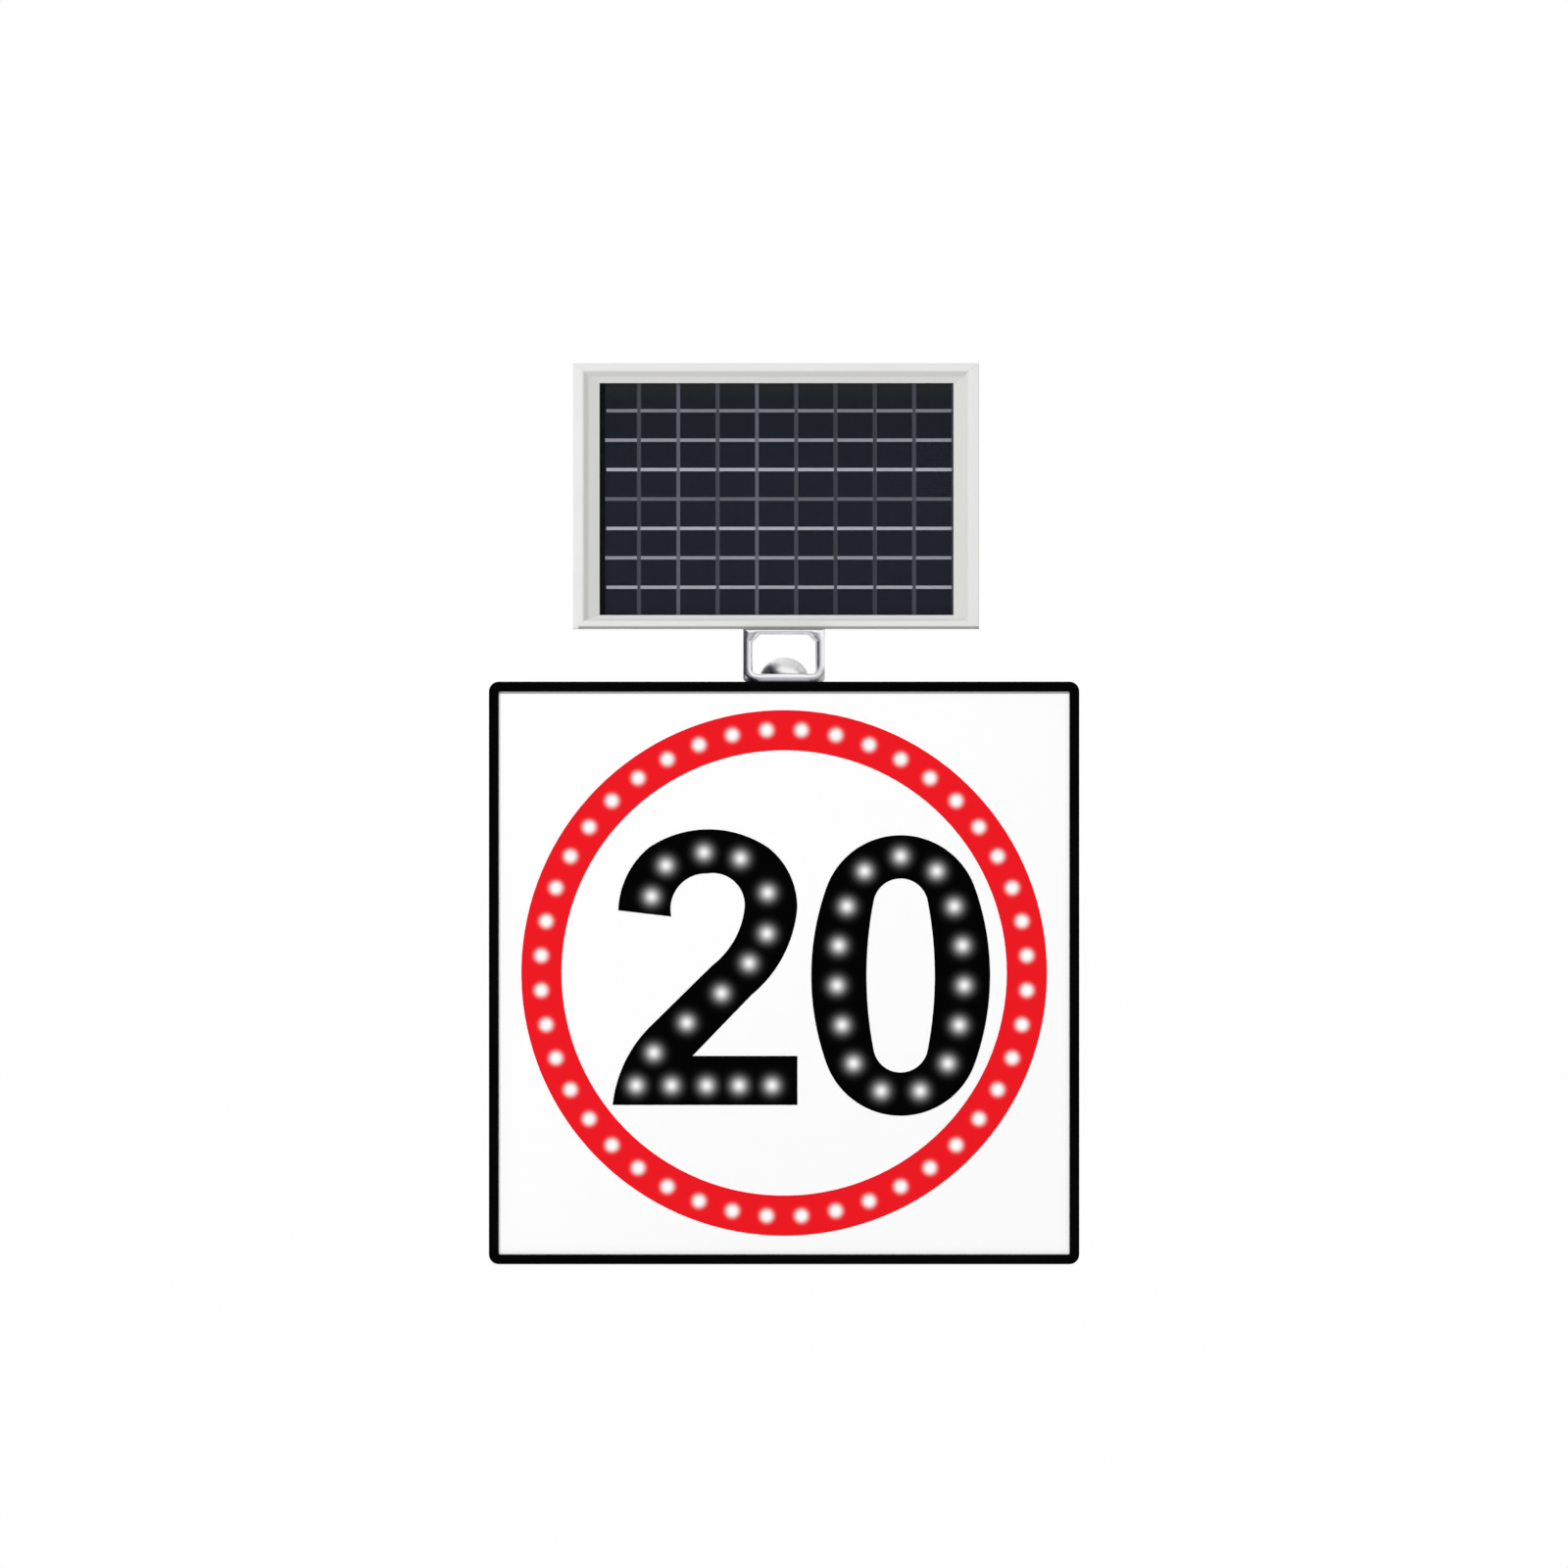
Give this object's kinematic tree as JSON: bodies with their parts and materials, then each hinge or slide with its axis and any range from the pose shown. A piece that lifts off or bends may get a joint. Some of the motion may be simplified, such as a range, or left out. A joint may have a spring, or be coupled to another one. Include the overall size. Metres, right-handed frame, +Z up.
{
  "type": "solar speed limit sign",
  "caption": "Square box sign with a red ring and a two figure number in white lamps, and a solar panel that swivels on a loop bracket above it.",
  "frame": {"origin": "middle of the housing's underside, halfway through its depth", "axes": "+Z up along the sign and panel, +Y towards the back, so that the face looks along -Y, +X to the right seen from the front"},
  "size_m": [0.6, 0.1544, 0.9158],
  "materials": {
    "black_paint": "satin",
    "white_face": "satin",
    "red_film": "satin",
    "black_film": "satin",
    "lamp_lens": "glossy",
    "circuit_board": "satin",
    "gasket": "matte",
    "zinc_steel": "satin",
    "rail_aluminium": "satin",
    "battery_case": "satin",
    "controller_case": "satin",
    "black_plastic": "satin",
    "brass_terminal": "satin",
    "bright_bracket": "polished",
    "panel_frame": "satin",
    "panel_glass": "glossy",
    "solar_cell": "glossy",
    "ribbon": "satin",
    "back_sheet": "satin"
  },
  "bodies": {
    "housing": {"housing_shell": "black_paint", "face_plate": "white_face", "ring_film": "red_film", "figure_two_film": "black_film", "figure_zero_film": "black_film", "ring_lamps": "lamp_lens", "figure_two_lamps": "lamp_lens", "figure_zero_lamps": "lamp_lens", "ring_lamp_boards": "circuit_board", "figure_two_board": "circuit_board", "figure_zero_board": "circuit_board", "rear_gasket": "gasket", "rear_cover": "black_paint", "cover_screws": "zinc_steel", "lower_rail": "rail_aluminium", "upper_rail": "rail_aluminium", "rail_bolts": "zinc_steel", "rail_nuts": "zinc_steel", "lower_clamp_saddle": "rail_aluminium", "lower_clamp_strap": "rail_aluminium", "upper_clamp_saddle": "rail_aluminium", "upper_clamp_strap": "rail_aluminium", "clamp_bolts": "zinc_steel", "clamp_nuts": "zinc_steel", "battery_pack": "battery_case", "battery_terminals": "brass_terminal", "battery_strap": "zinc_steel", "charge_controller": "controller_case", "controller_terminals": "black_plastic", "lamp_driver_board": "circuit_board", "driver_posts": "brass_terminal", "housing_gland": "black_plastic", "gland_locknut": "black_plastic", "top_stiffener": "zinc_steel", "pivot_washer": "zinc_steel", "pivot_nut": "zinc_steel", "pivot_bolt": "bright_bracket"},
    "panel_head": {"bracket_loop": "bright_bracket", "bracket_screws": "zinc_steel", "panel_frame_left": "panel_frame", "panel_frame_right": "panel_frame", "panel_frame_bottom": "panel_frame", "panel_frame_top": "panel_frame", "panel_glass": "panel_glass", "panel_ribbons": "ribbon", "panel_cells": "solar_cell", "panel_back_sheet": "back_sheet", "junction_box": "black_plastic", "junction_lid": "black_plastic", "junction_gland": "black_plastic"}
  },
  "joints": [
    {"name": "panel_swivel", "type": "hinge", "parent": "housing", "child": "panel_head", "pos_m": [0, 0, 0.592], "axis": [0, 0, 1], "range_deg": [-180, 180]}
  ]
}
